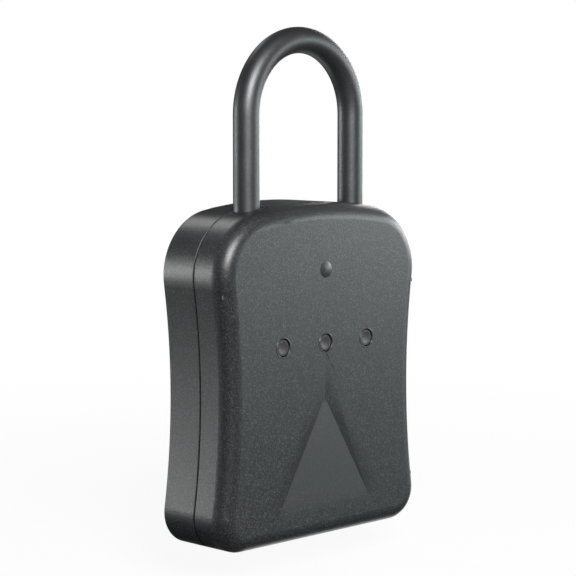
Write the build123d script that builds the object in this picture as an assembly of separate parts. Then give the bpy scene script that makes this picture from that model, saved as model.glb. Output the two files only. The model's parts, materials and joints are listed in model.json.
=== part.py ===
"""Portable key safe: a waisted two-part case that hangs from a removable shackle.

The front cover drops open on a hidden hinge low in the case. It carries three push buttons, the
board, the cells and the motor lock. The rear case holds the keys and takes the shackle legs.
Millimetres. X runs right as seen from the front, +Y to the back, +Z up. The origin lies under the
middle of the case, on the surface it stands on.
"""

import os
from math import atan, copysign, cos, degrees, hypot, pi, radians, sin, sqrt, tan

from build123d import *

# Case outline, seen from the front
case_height = 122.0
crown_radius = 193.0
waist_half = 47.7
waist_height = 55.0
side_radius = 268.0
top_corner = 23.0
bottom_corner = 12.0

# Case depth
case_depth = 32.0
cover_depth = 14.9
seam_gap = 0.4
front_rounding = 6.0
back_rounding = 2.0
seam_rounding = 0.35
lens_proud = 0.45
pad_proud = 0.8
cover_wall = 2.2
cover_front_wall = 2.4
case_wall = 2.6
pad_inset = 7.0
pad_sink = 0.8
gasket_depth = 0.8

y_front = lens_proud - (case_depth + lens_proud + pad_proud) / 2
y_back = y_front + case_depth
y_cover = y_front + cover_depth
y_case = y_cover + seam_gap
y_face_in = y_front + cover_front_wall
y_back_in = y_back - case_wall

# Shackle and the towers that take its legs
bar_radius = 4.75
leg_x = 26.8
leg_y = -2.8
leg_foot = 98.8
bow_top = 184.9
bow_radius = leg_x
bow_height = bow_top - bar_radius - bow_radius
foot_rounding = 1.4
tower_radius = 7.0
tower_bottom = 95.0
tower_gap = 0.4
bore_radius = 5.0
bore_floor = 98.5
seal_radius = 6.0
seal_bottom = 117.4
seal_height = 3.2
seal_sink = 0.2
seal_gap = 0.05

# Shackle latch
latch_low, latch_high = 104.5, 107.5
latch_front, latch_back = 0.2, 3.4
latch_tip = -21.8
latch_tail = 7.0
latch_tab_half = 5.5
latch_tab = (101.5, 110.5)
latch_fit = 0.08
window_fit = 0.3
notch_low, notch_high = 104.0, 108.0
notch_front = 2.4
bracket_front, bracket_back = 3.6, 4.6
bracket_ends = (-18.6, 16.0)
bracket_rail = 1.1
ear_x, ear_z, ear_radius = 12.6, 99.6, 3.4
ear_post_radius = 2.75

# Front face: buttons, lens and facet
button_pitch = 21.6
button_height = 71.4
button_radius = 3.0
button_hole = 3.25
hole_chamfer = 0.25
button_sink = 0.3
button_flange = 1.0
button_dish = 16.0
lens_height = 97.9
lens_radius = 3.0
lens_stem = 2.3
facet_apex = 51.5
facet_fade = 12.0
facet_depth = 0.42
facet_half_angle = 30.8
flank_radius = 80.0

# Drop-down hinge
hinge_y = y_cover - 4.6
hinge_z = 3.2
hinge_pin_radius = 1.25
knuckle_radius = 2.6
hinge_fit = 0.05
arm_x = 25.0
arm_width = 8.0
arm_gap = 0.35
cover_knuckle_width = 4.6
hinge_clearance = 0.33

# Board, switches and mat, measured from the front wall inwards
board_front = -9.5
board_thick = 1.2
switch_height = 1.7
mat_thick = 0.8
board_half = 28.0
board_low, board_high = 62.0, 92.0
board_tab_half, board_tab_high = 14.0, 103.0
board_screws = [(s * 25.0, 89.0) for s in (-1, 1)]
# Chips and the cell socket: centre x and z, width, height, thickness
board_parts = ((-12, 82, 9, 9, 1.2), (6, 84, 5, 7, 1.0), (16, 70, 7, 5, 1.6), (-17, 68, 6, 4, 1.4))

# Battery bay
cell_radius = 5.25
cell_length = 43.6
cell_pitch = 10.9
cell_y = -8.05
tray_low, tray_high = 12.6, 47.2
tray_half = 27.0
bay_half = 24.4

# Back plate of the cover
plate_front, plate_back = -3.2, -1.7
plate_inset = 2.45
plate_low = 7.0
plate_screws = [(s * x, z) for z, x in ((17.0, 44.0), (91.0, 43.8)) for s in (-1, 1)]
post_radius, post_reach = 3.0, 49.0

# Motor lock
module = 0.5
pinion_teeth = 12
pressure_angle = 20.0
tooth_backlash = 0.12
addendum = 0.42
dedendum = 0.62
pinion_y, pinion_z = -9.6, 54.5
pinion_width = 4.0
pinion_radius = module * pinion_teeth / 2
bar_half = 4.0
bar_front = pinion_y + pinion_radius + dedendum
bar_back = -3.8
bar_low, bar_high = 47.7, 112.6
guide_heights = (70.0, 104.0)
guide_fit = 0.08
gearbox_depth, gearbox_height, gearbox_length = 8.0, 10.0, 9.0
gearbox_face = -4.5
motor_length = 13.4
rib_thick = 1.4
ribs = (gearbox_face - 7.5, gearbox_face - gearbox_length - 9)

# Keeper bracket
keeper_low, keeper_thick = 113.3, 2.0
keeper_half = 7.5
keeper_tip = -7.8
keeper_end = 9.5
keeper_screw_x, keeper_screw_y = 4.6, 5.0
shelf_half, shelf_front = 9.0, 1.5

# Key hook
hook_low, hook_high = 84.0, 95.0
hook_half = 12.0
hook_pitch = 5.0
hook_width = 3.2
hook_plate = 1.8
hook_reach, hook_thick, hook_rise = 6.4, 1.8, 5.0
hook_screw_x, hook_screw_z = 9.0, 91.5

# Seal strip in the seam
strip_outer, strip_inner = 0.8, 1.9
strip_low = 14.0
strip_proud = 0.25

# Screws: clearance hole, pilot hole and head
clear_radius = 1.2
pilot_radius = 1.0
head_radius, head_height = 2.1, 1.1
sink_radius, sink_depth = 2.3, 0.9


def slab(sketch, front, back):
    """A sketch drawn on the front view, given depth from y = front to y = back."""
    return extrude(Plane.XZ.offset(-back) * sketch, amount=back - front)


def block(x, y, z):
    """A box from pairs of lowest and highest values."""
    size = [high - low for low, high in (x, y, z)]
    centre = [(high + low) / 2 for low, high in (x, y, z)]
    return Pos(*centre) * Box(*size)


def rod_x(radius, y, z, low, high):
    return Pos((low + high) / 2, y, z) * Rot(Y=90) * Cylinder(radius, high - low)


def rod_y(radius, x, z, front, back):
    return Pos(x, (front + back) / 2, z) * Rot(X=90) * Cylinder(radius, back - front)


def rod_z(radius, x, y, low, high):
    return Pos(x, y, (low + high) / 2) * Cylinder(radius, high - low)


def outline(inset=0.0):
    """The case's outline: flat foot, hollow sides, crowned top, four rounded corners.

    An inset outline runs parallel to the outer one, so each of its arcs keeps its centre.
    """
    reach = waist_half + side_radius
    face = Pos(0, (case_height + inset) / 2) * Rectangle(waist_half * 2.4, case_height - inset)
    face &= Pos(0, case_height - crown_radius) * Circle(crown_radius - inset)
    face -= Pos(reach, waist_height) * Circle(side_radius + inset)
    face -= Pos(-reach, waist_height) * Rot(Z=180) * Circle(side_radius + inset)
    face = fillet(face.vertices().sort_by(Axis.Y)[:2], bottom_corner - inset)
    return fillet(face.vertices().sort_by(Axis.Y)[-2:], top_corner - inset)


def edges_at(solid, y):
    return solid.edges().filter_by(lambda e: abs(e.bounding_box().min.Y - y) < 1e-3
                                   and abs(e.bounding_box().max.Y - y) < 1e-3)


def screw(head_radius, head_height, shank_radius, length):
    """A pan head screw along -Z from its head's seat at the origin."""
    head = Pos(0, 0, head_height / 2) * Cylinder(head_radius, head_height)
    head = chamfer(head.edges().group_by(Axis.Z)[-1], head_height * 0.4)
    return head + Pos(0, 0, -length / 2) * Cylinder(shank_radius, length)


def facet_cut():
    """What is cut away for the smooth triangle low on the face.

    The triangle sinks towards its apex. Rounded flanks roll down to it from the face, and meet in
    a crease above it.
    """
    lean = atan(facet_depth / (facet_apex - facet_fade))
    half = radians(facet_half_angle)
    apex = Vector(0, y_front + facet_depth, facet_apex)
    up = Vector(0, sin(lean), cos(lean))
    side = Vector(1, 0, 0)
    drop = facet_depth + 0.05
    reach = sqrt(2 * flank_radius * drop)
    root = drop + 1.0
    mid = reach / 2
    rise = drop - (reach - mid) ** 2 / (2 * flank_radius)
    span = 60.0
    profile = Line((-span, 0), (0, 0)) + ThreePointArc((0, 0), (mid, rise), (reach, drop))
    profile += Polyline((reach, drop), (reach, root), (-span, root), (-span, 0))
    section = make_face(profile)
    across = side * cos(half) + up * sin(half)
    along = side * sin(half) - up * cos(half)
    flank = extrude(Plane(apex, x_dir=across, z_dir=along) * section, amount=span, both=True)
    cut = flank & mirror(flank, about=Plane.YZ)
    return cut & block((-40, 40), (y_front - 2, y_front + 2), (facet_fade - 3, 80))


def tower_plan(x, grow=0.0):
    """A tower's footprint from above: round in front of the leg, straight behind it."""
    radius = tower_radius + grow
    return Pos(x, leg_y) * Circle(radius) + Pos(x, leg_y + 3) * Rectangle(2 * radius, 6)


def make_rear_case():
    shell = slab(outline(), y_case, y_back)
    shell = fillet(edges_at(shell, y_back), back_rounding)
    shell = fillet(edges_at(shell, y_case), seam_rounding)
    shell -= slab(outline(case_wall), y_case - 1, y_back_in)
    shell -= slab(outline(pad_inset - 0.1), y_back - pad_sink, y_back + 1)
    # The cover's lower edge swings up past the floor's front edge
    swing = hypot(y_cover - hinge_y, hinge_z) + hinge_clearance
    foot_half = waist_half - 1.7
    shell -= rod_x(swing, hinge_y, hinge_z, -foot_half, foot_half)
    envelope = slab(outline(), y_front, y_back - case_wall / 2)
    for side in (-1, 1):
        x = side * leg_x
        tower = extrude(Pos(0, 0, tower_bottom) * tower_plan(x), amount=case_height - tower_bottom)
        tower += block((x - 1.5, x + 1.5), (leg_y, y_back_in + 1), (tower_bottom, case_height))
        shell += tower & envelope
        shell += hinge_arm(side * arm_x)
        shell += rod_y(ear_post_radius, side * ear_x, ear_z, bracket_back, y_back_in + 0.5)
    shell += block((-shelf_half, shelf_half), (shelf_front, y_back_in + 0.5),
                   (keeper_low + keeper_thick, case_height - 1.5))
    for side in (-1, 1):
        x = side * leg_x
        shell -= rod_z(bore_radius, x, leg_y, bore_floor, case_height + 1)
        shell -= rod_z(seal_radius, x, leg_y, seal_bottom, case_height + 1)
        shell -= rod_x(hinge_pin_radius, hinge_y, hinge_z, *arm_span(side * arm_x, 1))
        shell -= rod_y(pilot_radius, side * ear_x, ear_z, bracket_back - 1, bracket_back + 6)
        shell -= rod_z(pilot_radius, side * keeper_screw_x, keeper_screw_y, keeper_low, keeper_low + 6)
        shell -= rod_y(pilot_radius, side * hook_screw_x, hook_screw_z, y_back_in - 1, y_back_in + 1.6)
    # Window for the latch in the left tower
    window = block((-leg_x, -leg_x + tower_radius + 1),
                   (latch_front - window_fit, latch_back + window_fit),
                   (latch_low - window_fit, latch_high + window_fit))
    return shell - window - gasket_groove()


def arm_span(x, grow=0.0):
    return x - arm_width / 2 - grow, x + arm_width / 2 + grow


def hinge_arm(x):
    """A knuckle of the rear case that reaches forward past the seam."""
    low, high = arm_span(x)
    arm = rod_x(knuckle_radius, hinge_y, hinge_z, low, high)
    web = block((low, high), (hinge_y, 4.0), (hinge_z - knuckle_radius, hinge_z + knuckle_radius))
    return arm + web


def gasket_ring(front, back):
    """A seal strip inside the seam's sides and top, left out at the towers and the hinge."""
    ring = slab(outline(strip_outer), front, back) - slab(outline(strip_inner), front - 1, back + 1)
    ring -= block((-60, 60), (front - 1, back + 1), (-1, strip_low))
    for side in (-1, 1):
        x = side * leg_x
        ring -= block((x - 8, x + 8), (front - 1, back + 1), (tower_bottom - 5, case_height + 1))
    return ring


def gasket_groove():
    return gasket_ring(y_case - 1, y_case + gasket_depth)


def make_cover_gasket():
    return gasket_ring(y_case - strip_proud, y_case + gasket_depth)


def make_front_cover():
    shell = slab(outline(), y_front, y_cover)
    shell = fillet(edges_at(shell, y_front), front_rounding)
    shell = fillet(edges_at(shell, y_cover), seam_rounding)
    shell -= facet_cut()
    room = slab(outline(cover_wall), y_face_in, y_cover + 1)
    shell -= fillet(edges_at(room, y_face_in), front_rounding - cover_wall)
    for side in (-1, 1):
        notch = tower_plan(side * leg_x, tower_gap)
        shell -= extrude(Pos(0, 0, tower_bottom) * notch, amount=case_height)
        low, high = arm_span(side * arm_x, arm_gap)
        shell -= block((low, high), (hinge_y - knuckle_radius - 0.5, y_cover + 1),
                       (-1, cover_wall + 0.1))
        for x0, x1 in ((low - cover_knuckle_width, low), (high, high + cover_knuckle_width)):
            shell += rod_x(knuckle_radius, hinge_y, hinge_z, x0, x1)
            shell += block((x0, x1), (hinge_y - knuckle_radius, hinge_y + knuckle_radius),
                           (cover_wall / 2, hinge_z))
        shell -= rod_x(hinge_pin_radius + hinge_fit, hinge_y, hinge_z,
                       low - cover_knuckle_width + 0.8, high + cover_knuckle_width - 0.8)
    # Screw posts, tied to the side walls by ribs
    for x, z in plate_screws:
        shell += rod_y(post_radius, x, z, y_face_in - 0.5, plate_front)
        shell += block(sorted((x, copysign(post_reach, x))), (y_face_in - 0.5, plate_front),
                       (z - rib_thick / 2, z + rib_thick / 2))
        shell -= rod_y(pilot_radius, x, z, plate_front - 6.5, plate_front + 1)
    for x, z in board_screws:
        shell += rod_y(2.2, x, z, y_face_in - 0.5, board_front)
        shell -= rod_y(0.8, x, z, board_front - 3, board_front + 1)
    for n in (-1, 0, 1):
        shell -= rod_y(button_hole, n * button_pitch, button_height, y_front - 2, y_face_in + 1)
        shell -= Pos(n * button_pitch, y_front, button_height) * Rot(X=90) * Cone(
            button_hole, button_hole + 2 * hole_chamfer, 2 * hole_chamfer)
    shell -= rod_y(lens_stem + 0.05, 0, lens_height, y_front - 2, y_face_in + 1)
    # Ribs that cradle the gearbox and the motor, with a slot for the board's lower edge
    board_back = board_front + board_thick
    for x in ribs:
        cradle = block((x, x + rib_thick), (y_face_in - 0.5, pinion_y),
                       (pinion_z - 6.4, pinion_z + 6.4))
        cradle += block((x, x + rib_thick), (y_face_in - 0.5, board_back + 1.6),
                        (pinion_z + gearbox_height / 2, board_low + 2.0))
        cradle -= block((x - 1, x + 3), (pinion_y - gearbox_depth / 2, pinion_y + 1),
                        (pinion_z - gearbox_height / 2, pinion_z + gearbox_height / 2))
        cradle -= block((x - 1, x + 3), (board_front, board_back), (board_low, board_low + 3))
        shell += cradle
    return shell


def make_button(n):
    """A button: a dished cap on a stem, held behind the wall by its flange."""
    x = n * button_pitch
    cap_front = y_front + button_sink
    flange = y_face_in + 0.15
    button = rod_y(button_radius, x, button_height, cap_front, flange)
    button = chamfer(edges_at(button, cap_front), 0.2)
    button += rod_y(button_radius + button_flange, x, button_height, flange, flange + 0.8)
    return button - Pos(x, cap_front - button_dish + 0.15, button_height) * Sphere(button_dish)


def make_status_lens():
    """A shallow domed cap with a light guide stem that runs through the wall."""
    dome_radius = (lens_radius ** 2 + lens_proud ** 2) / (2 * lens_proud)
    dome = Pos(0, y_front - lens_proud + dome_radius, lens_height) * Sphere(dome_radius)
    dome &= block((-4, 4), (y_front - 1, y_front), (lens_height - 4, lens_height + 4))
    return dome + rod_y(lens_stem, 0, lens_height, y_front - 0.01, y_face_in + 0.6)


def make_shackle():
    path = Line((-leg_x, leg_y, leg_foot), (-leg_x, leg_y, bow_height))
    path += ThreePointArc((-leg_x, leg_y, bow_height), (0, leg_y, bow_height + bow_radius),
                          (leg_x, leg_y, bow_height))
    path += Line((leg_x, leg_y, bow_height), (leg_x, leg_y, leg_foot))
    start = Plane(origin=(-leg_x, leg_y, leg_foot), x_dir=(1, 0, 0), z_dir=(0, 0, 1))
    bar = sweep(start * Circle(bar_radius), path=path)
    bar = fillet(bar.edges().group_by(Axis.Z)[0], foot_rounding)
    # The latch enters a flat notch across the back of the left leg
    return bar - block((-leg_x - 6, -leg_x + 6), (leg_y + notch_front, leg_y + 6),
                       (notch_low, notch_high))


def make_shackle_seals():
    ring = [rod_z(seal_radius, side * leg_x, leg_y, seal_bottom, seal_bottom + seal_height)
            - rod_z(bar_radius + seal_gap, side * leg_x, leg_y, 100, 130) for side in (-1, 1)]
    return (ring[0] + ring[1]) & slab(outline(seal_sink), leg_y - 8, leg_y + 8)


def make_shackle_latch():
    latch = block((latch_tip, latch_tail), (latch_front, latch_back), (latch_low, latch_high))
    latch = chamfer(latch.edges().filter_by(Axis.Y).group_by(Axis.X)[0], 0.6)
    tab = block((-latch_tab_half, latch_tab_half), (-0.45, latch_front + 0.7), latch_tab)
    tab = fillet(tab.edges().filter_by(Axis.Y), 1.5)
    for n in (-1, 0, 1):
        tab -= block((2.6 * n - 0.5, 2.6 * n + 0.5), (-1, -0.1), (102.6, 109.4))
    return latch + tab


def make_latch_bracket():
    """The channel that guides the latch, with two screw ears below it."""
    low, high = latch_low - latch_fit, latch_high + latch_fit
    plate = block(bracket_ends, (bracket_front, bracket_back),
                  (low - bracket_rail, high + bracket_rail))
    for z0, z1 in ((low - bracket_rail, low), (high, high + bracket_rail)):
        plate += block(bracket_ends, (latch_front + 1.2, bracket_front), (z0, z1))
    for side in (-1, 1):
        ear = rod_y(ear_radius, side * ear_x, ear_z, bracket_front, bracket_back)
        plate += ear + block((side * ear_x - ear_radius, side * ear_x + ear_radius),
                             (bracket_front, bracket_back), (ear_z, low))
        plate -= rod_y(clear_radius, side * ear_x, ear_z, 0, 10)
    return plate


def make_latch_screws():
    return Compound(children=[Pos(side * ear_x, bracket_front, ear_z) * Rot(X=90)
                              * screw(head_radius, head_height, pilot_radius, 6.5)
                              for side in (-1, 1)])


def make_keeper_bracket():
    """The steel tongue that the lock bar enters, under the shelf in the top of the case."""
    tongue = block((-keeper_half, keeper_half), (keeper_tip, keeper_end),
                   (keeper_low, keeper_low + keeper_thick))
    tongue = fillet(tongue.edges().filter_by(Axis.Z), 1.5)
    tongue -= block((-bar_half - 0.4, bar_half + 0.4), (bar_front - 0.4, bar_back + 0.4),
                    (keeper_low - 1, keeper_low + keeper_thick + 1))
    for side in (-1, 1):
        tongue -= rod_z(clear_radius, side * keeper_screw_x, keeper_screw_y, 110, 120)
    return tongue


def make_keeper_screws():
    return Compound(children=[Pos(side * keeper_screw_x, keeper_screw_y, keeper_low) * Rot(X=180)
                              * screw(head_radius, head_height, pilot_radius, 5.5)
                              for side in (-1, 1)])


def make_key_hook():
    """A plate on the back wall with two upturned hooks."""
    y0, z0 = y_back_in - hook_plate, hook_low + 1.2
    plate = block((-hook_half, hook_half), (y0, y_back_in), (hook_low, hook_high))
    plate = fillet(plate.edges().filter_by(Axis.Y), 2.0)
    reach, thick, rise = hook_reach, hook_thick, hook_rise
    bend = reach - thick
    spine = Polyline((y0 + 0.5, z0), (y0 - bend, z0)) + ThreePointArc(
        (y0 - bend, z0), (y0 - bend - thick * 0.92, z0 + thick * 0.38), (y0 - reach, z0 + thick))
    spine += Polyline((y0 - reach, z0 + thick), (y0 - reach, z0 + rise),
                      (y0 - bend, z0 + rise), (y0 - bend, z0 + thick), (y0 + 0.5, z0 + thick),
                      (y0 + 0.5, z0))
    section = make_face(Plane.YZ * spine)
    for x in (-hook_pitch, hook_pitch):
        plate += extrude(Pos(x, 0, 0) * section, amount=hook_width / 2, both=True)
    for side in (-1, 1):
        plate -= rod_y(clear_radius, side * hook_screw_x, hook_screw_z, 0, 20)
    return plate


def make_hook_screws():
    seat = y_back_in - hook_plate
    return Compound(children=[Pos(side * hook_screw_x, seat, hook_screw_z) * Rot(X=90)
                              * screw(head_radius, head_height, pilot_radius, 3.2)
                              for side in (-1, 1)])


def make_back_pad():
    pad = slab(outline(pad_inset), y_back - pad_sink, y_back + pad_proud)
    return fillet(edges_at(pad, y_back + pad_proud), 0.5)


def make_hinge_pins():
    pins = []
    for side in (-1, 1):
        low, high = arm_span(side * arm_x, arm_gap + cover_knuckle_width - 1.0)
        pins.append(rod_x(hinge_pin_radius, hinge_y, hinge_z, low, high))
    return Compound(children=pins)


def make_circuit_board():
    board = block((-board_half, board_half), (board_front, board_front + board_thick),
                  (board_low, board_high))
    board = fillet(board.edges().filter_by(Axis.Y), 2.0)
    board += block((-board_tab_half, board_tab_half), (board_front, board_front + board_thick),
                   (board_high - 3, board_tab_high))
    for x, z in board_screws:
        board -= rod_y(1.0, x, z, board_front - 1, board_front + 3)
    back = board_front + board_thick
    for x, z, w, h, t in board_parts:
        board += block((x - w / 2, x + w / 2), (back - 0.1, back + t), (z - h / 2, z + h / 2))
    return board


def make_board_screws():
    return Compound(children=[Pos(x, board_front + board_thick, z) * Rot(X=-90)
                              * screw(1.8, 0.9, 0.8, 3.8) for x, z in board_screws])


def make_button_switches():
    switches = []
    for n in (-1, 0, 1):
        x = n * button_pitch
        top = board_front - switch_height
        switches.append(block((x - 3, x + 3), (top + 0.5, board_front),
                              (button_height - 3, button_height + 3))
                        + rod_y(1.7, x, button_height, top, board_front - 0.2))
    return Compound(children=switches)


def make_keypad_mat():
    top = board_front - switch_height
    mat = block((-board_half, board_half), (top - mat_thick, top),
                (button_height - 4.6, button_height + 4.6))
    return fillet(mat.edges().filter_by(Axis.Y), 2.0)


def make_status_light():
    tip = y_face_in + 0.7
    lamp = rod_y(1.5, 0, lens_height, tip, board_front - 0.6)
    lamp = chamfer(edges_at(lamp, tip), 0.6)
    return lamp + rod_y(1.9, 0, lens_height, board_front - 1.2, board_front)


def cell_heights():
    middle = (tray_low + tray_high) / 2
    return [middle + n * cell_pitch for n in (-1, 0, 1)]


def make_battery_tray():
    tray = block((-tray_half, tray_half), (y_face_in, plate_front), (tray_low, tray_high))
    tray = fillet(tray.edges().filter_by(Axis.Y), 1.5)
    for z in cell_heights():
        tray -= rod_x(cell_radius + 0.1, cell_y, z, -bay_half, bay_half)
        tray -= block((-bay_half, bay_half), (cell_y, plate_front + 1), (z - 4.9, z + 4.9))
    return tray


def make_battery_cell(n):
    """One cell along X. Neighbours lie end for end."""
    z = cell_heights()[n]
    side = 1 if n % 2 else -1
    body = cell_length / 2
    cell = rod_x(cell_radius, cell_y, z, -body, body)
    cell = chamfer(cell.edges(), 0.4)
    tip = sorted((side * (body - 0.5), side * (body + 0.9)))
    return cell + rod_x(1.9, cell_y, z, *tip)


def make_battery_contacts():
    """A spring cone at each cell's flat end and a plate at its tip."""
    contacts = []
    for n, z in enumerate(cell_heights()):
        side = 1 if n % 2 else -1
        body = cell_length / 2
        for end, reach in ((side, body + 0.9), (-side, body)):
            wall = end * bay_half
            x0, x1 = sorted((wall, wall - end * 0.4))
            plate = block((x0, x1), (cell_y - 3, cell_y + 3.6), (z - 3.4, z + 3.4))
            stub = Pos((end * reach + wall) / 2, cell_y, z) * Rot(Y=-90 * end)
            plate += stub * Cone(3.0, 1.8, bay_half - reach, align=Align.CENTER)
            contacts.append(plate)
    return Compound(children=contacts)


def make_battery_cover():
    cover = block((-tray_half + 0.9, tray_half - 0.9), (plate_back - 0.75, plate_back + 0.35),
                  (tray_low + 0.9, tray_high - 0.9))
    cover = fillet(cover.edges().filter_by(Axis.Y), 2.0)
    for n in range(5):
        z = (tray_low + tray_high) / 2 - 4 + 2 * n
        cover -= block((18, 24), (plate_back + 0.1, plate_back + 1), (z - 0.4, z + 0.4))
    return cover


def make_cover_plate():
    """The plate that closes the cover's works from the key side."""
    plate = slab(outline(plate_inset), plate_front, plate_back)
    plate -= block((-60, 60), (-5, 0), (-1, plate_low))
    for side in (-1, 1):
        x = side * leg_x
        plate -= block((x - 7.8, x + 7.8), (-5, 0), (tower_bottom - 0.8, 130))
    plate -= block((-keeper_half - 0.8, keeper_half + 0.8), (-5, 0), (111.8, 117.0))
    plate -= block((-bay_half, bay_half), (-5, 0), (tray_low + 2, tray_high - 2))
    plate -= block((-tray_half + 0.7, tray_half - 0.7), (plate_back - 0.75, 0),
                   (tray_low + 0.7, tray_high - 0.7))
    for x, z in plate_screws:
        plate -= rod_y(clear_radius, x, z, -5, 0)
        plate -= rod_y(sink_radius, x, z, plate_back - sink_depth, 0)
    return plate


def make_plate_screws():
    return Compound(children=[Pos(x, plate_back - sink_depth, z) * Rot(X=-90)
                              * screw(head_radius, sink_depth - 0.05, pilot_radius, 7.0)
                              for x, z in plate_screws])


def tooth_flank(height, half_at_pitch):
    """Half thickness of a straight rack tooth at a height above the pitch line."""
    return half_at_pitch - height * tan(radians(pressure_angle))


def make_lock_bar():
    """The flat bar that slides up into the keeper, with a rack cut on its front face."""
    bar = block((-bar_half, bar_half), (bar_front, bar_back), (bar_low, bar_high))
    bar = chamfer(bar.edges().filter_by(Axis.Y).group_by(Axis.Z)[-1], 0.8)
    pitch = pi * module
    pitch_y = pinion_y + pinion_radius
    half = pitch / 4 - tooth_backlash / 2
    for n in range(-4, 2):
        z = pinion_z + n * pitch
        root, tip = tooth_flank(-dedendum, half), tooth_flank(addendum, half)
        tooth = make_face(Plane.YZ * Polyline((pitch_y + dedendum + 0.1, z - root),
                                              (pitch_y + dedendum, z - root),
                                              (pitch_y - addendum, z - tip),
                                              (pitch_y - addendum, z + tip),
                                              (pitch_y + dedendum, z + root),
                                              (pitch_y + dedendum + 0.1, z + root), close=True))
        bar += extrude(tooth, amount=pinion_width / 2 + 0.3, both=True)
    return bar


def involute(base, radius, start):
    """A point of an involute from a base circle, turned so that it starts at an angle."""
    roll = sqrt(max(radius ** 2 / base ** 2 - 1, 0))
    angle = start + roll - atan(roll)
    return radius * cos(angle), radius * sin(angle)


def make_lock_pinion():
    """An involute pinion. A gap faces the rack, and the bore takes the motor's shaft."""
    base = pinion_radius * cos(radians(pressure_angle))
    inv = tan(radians(pressure_angle)) - radians(pressure_angle)
    half = (pi * module / 2 - tooth_backlash) / (2 * pinion_radius) + inv
    root, tip = pinion_radius - dedendum, pinion_radius + addendum
    middle = (base + tip) / 2
    radii = (base, middle, tip)
    gear = Circle(root + 0.02)
    for n in range(pinion_teeth):
        turn = degrees(2 * pi * (n + 0.5) / pinion_teeth)
        right = [involute(base, r, -half) for r in radii]
        left = [(x, -y) for x, y in right]
        foot_r, foot_l = [(root * 0.96 * cos(a), root * 0.96 * sin(a)) for a in (-half, half)]
        edge = Line(foot_r, right[0]) + ThreePointArc(*right) + ThreePointArc(
            right[2], (tip, 0), left[2]) + ThreePointArc(*reversed(left)) + Line(left[0], foot_l)
        gear += Rot(Z=turn) * make_face(edge + Line(foot_l, foot_r))
    gear -= Circle(1.0)
    side = Plane((-pinion_width / 2, pinion_y, pinion_z), x_dir=(0, 1, 0), z_dir=(1, 0, 0))
    return extrude(side * gear, amount=pinion_width)


def make_motor_shaft():
    return rod_x(1.0, pinion_y, pinion_z, gearbox_face, pinion_width / 2 + 0.6)


def make_gear_motor():
    half_y, half_z = gearbox_depth / 2, gearbox_height / 2
    box = block((gearbox_face - gearbox_length, gearbox_face), (pinion_y - half_y, pinion_y + half_y),
                (pinion_z - half_z, pinion_z + half_z))
    box = fillet(box.edges().filter_by(Axis.X), 0.8)
    start = gearbox_face - gearbox_length
    can = rod_x(half_z, pinion_y, pinion_z, start - motor_length, start + 0.5)
    can &= block((-60, 0), (pinion_y - half_y, pinion_y + half_y), (0, 100))
    can += rod_x(1.6, pinion_y, pinion_z, start - motor_length - 1.0, start - motor_length + 0.5)
    return box + can


def make_motor_clamp():
    """A sheet strap over the gearbox, with feet against the cover's wall."""
    half_z = gearbox_height / 2
    x = (gearbox_face - 5.6, gearbox_face - 1.0)
    back = pinion_y + gearbox_depth / 2
    strap = block(x, (y_face_in, back + 0.6), (pinion_z - half_z - 0.6, pinion_z + half_z + 0.6))
    return strap - block((-20, 0), (y_face_in - 1, back), (pinion_z - half_z, pinion_z + half_z))


def make_bar_guides():
    """Two bridges on the cover plate that the lock bar slides in."""
    guides = []
    for z in guide_heights:
        bridge = block((-bar_half - 2.2, bar_half + 2.2), (bar_front - 1.0, plate_front), (z, z + 5))
        bridge = fillet(bridge.edges().filter_by(Axis.Z).group_by(Axis.Y)[0], 0.8)
        guides.append(bridge - block((-bar_half - guide_fit, bar_half + guide_fit),
                                     (bar_front - guide_fit, bar_back + guide_fit), (z - 1, z + 6)))
    return Compound(children=guides)


pieces = {
    "rear_case": make_rear_case,
    "front_cover": make_front_cover,
    "back_pad": make_back_pad,
    "cover_gasket": make_cover_gasket,
    "hinge_pins": make_hinge_pins,
    "shackle": make_shackle,
    "shackle_seals": make_shackle_seals,
    "shackle_latch": make_shackle_latch,
    "latch_bracket": make_latch_bracket,
    "latch_screws": make_latch_screws,
    "keeper_bracket": make_keeper_bracket,
    "keeper_screws": make_keeper_screws,
    "key_hook": make_key_hook,
    "hook_screws": make_hook_screws,
    "status_lens": make_status_lens,
    "status_light": make_status_light,
    "circuit_board": make_circuit_board,
    "board_screws": make_board_screws,
    "button_switches": make_button_switches,
    "keypad_mat": make_keypad_mat,
    "battery_tray": make_battery_tray,
    "battery_contacts": make_battery_contacts,
    "battery_cover": make_battery_cover,
    "cover_plate": make_cover_plate,
    "plate_screws": make_plate_screws,
    "lock_bar": make_lock_bar,
    "bar_guides": make_bar_guides,
    "lock_pinion": make_lock_pinion,
    "motor_shaft": make_motor_shaft,
    "gear_motor": make_gear_motor,
    "motor_clamp": make_motor_clamp,
}
for n, name in ((-1, "button_left"), (0, "button_centre"), (1, "button_right")):
    pieces[name] = lambda n=n: make_button(n)
for n, name in enumerate(("battery_cell_lower", "battery_cell_middle", "battery_cell_upper")):
    pieces[name] = lambda n=n: make_battery_cell(n)

os.makedirs("parts", exist_ok=True)
for name, make in pieces.items():
    export_step(make(), f"parts/{name}.step")
print(len(pieces), "sub-parts written")
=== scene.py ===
# %% [markdown]
# # A portable key safe, dressed for its picture
# The safe is a dark grained moulding in two halves that hangs from a satin steel shackle. Its
# shapes come ready made from the frame, at real size and in metres. What is left for this file is
# how it looks: the camera, the light, the finishes, and small fittings such as screws.

# %% Load the frame
import json
import math

import bmesh
import bpy
from mathutils import Matrix, Vector


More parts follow.
